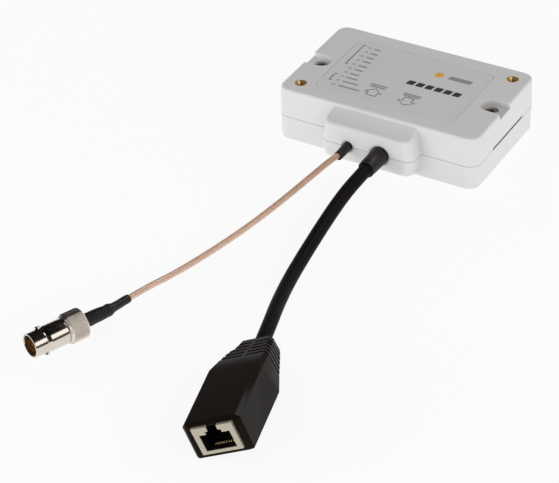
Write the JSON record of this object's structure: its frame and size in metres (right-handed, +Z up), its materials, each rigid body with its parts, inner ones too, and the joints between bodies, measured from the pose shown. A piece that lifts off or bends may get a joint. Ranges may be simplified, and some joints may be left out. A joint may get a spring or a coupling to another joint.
{
  "type": "power over coax adapter",
  "caption": "Flat light-grey adapter box with a hipped cable nose, a printed top panel, a thin coax pigtail with bayonet jack and a black network pigtail with shielded socket.",
  "frame": {"origin": "on the table under the middle of the housing's outline, cable nose included", "axes": "+X to the right along the housing's long side, -Y the way the cables leave, +Z up out of the printed face"},
  "size_m": [0.1067, 0.2516, 0.024],
  "materials": {
    "grey_plastic": "fine matte moulded plastic",
    "label_film": "matte printed film",
    "dark_steel": "blackened steel",
    "zinc_steel": "zinc plated",
    "insert_brass": "turned brass",
    "board_green": "glass fibre board with green lacquer",
    "clear_plastic": "clear moulded plastic",
    "lamp_white": "lamp resin",
    "ferrite": "sintered ferrite",
    "coil_tape": "yellow coil tape",
    "chip_black": "moulded resin",
    "can_aluminium": "drawn aluminium",
    "arrester_white": "ceramic",
    "header_white": "moulded nylon",
    "clip_tin": "tinned sheet",
    "wire_insulation": "coloured wire insulation",
    "coax_insulation": "bare coax core",
    "black_sleeve": "soft black moulding",
    "coax_jacket": "thin clear jacket over copper braid",
    "cable_jacket": "matte black cable jacket",
    "nickel": "nickel plate",
    "insulator_white": "fluoropolymer",
    "gold": "gold plate",
    "ferrule_brass": "crimped brass",
    "overmould_black": "matte overmoulding",
    "shield_steel": "tinned sheet",
    "insert_black": "moulded plastic"
  },
  "bodies": {
    "root": {"bottom_shell": "grey_plastic", "top_shell": "grey_plastic", "label_panel": "label_film", "left_screw": "dark_steel", "right_screw": "dark_steel", "board_screws": "zinc_steel", "front_thread_insert": "insert_brass", "rear_thread_insert": "insert_brass", "main_board": "board_green", "light_pipes": "clear_plastic", "indicator_lamps": "lamp_white", "power_transformer_core": "ferrite", "power_inductor": "ferrite", "power_transformer_coil": "coil_tape", "signal_transformer": "chip_black", "processor_chip": "chip_black", "line_driver_chip": "chip_black", "storage_capacitors": "can_aluminium", "surge_arrester": "arrester_white", "wire_header": "header_white", "coax_clip": "clip_tin", "wire_pairs": "wire_insulation", "coax_tail": "coax_insulation", "coax_sleeve": "black_sleeve", "network_sleeve": "black_sleeve", "coax_jack_boot": "black_sleeve", "coax_cord": "coax_jacket", "network_cord": "cable_jacket", "coax_jack_barrel": "nickel", "coax_jack_collar": "nickel", "coax_jack_insulator": "insulator_white", "coax_jack_contact": "gold", "network_jack_contacts": "gold", "coax_jack_ferrule": "ferrule_brass", "network_jack_housing": "overmould_black", "network_jack_shield": "shield_steel", "network_jack_insert": "insert_black"}
  },
  "joints": []
}
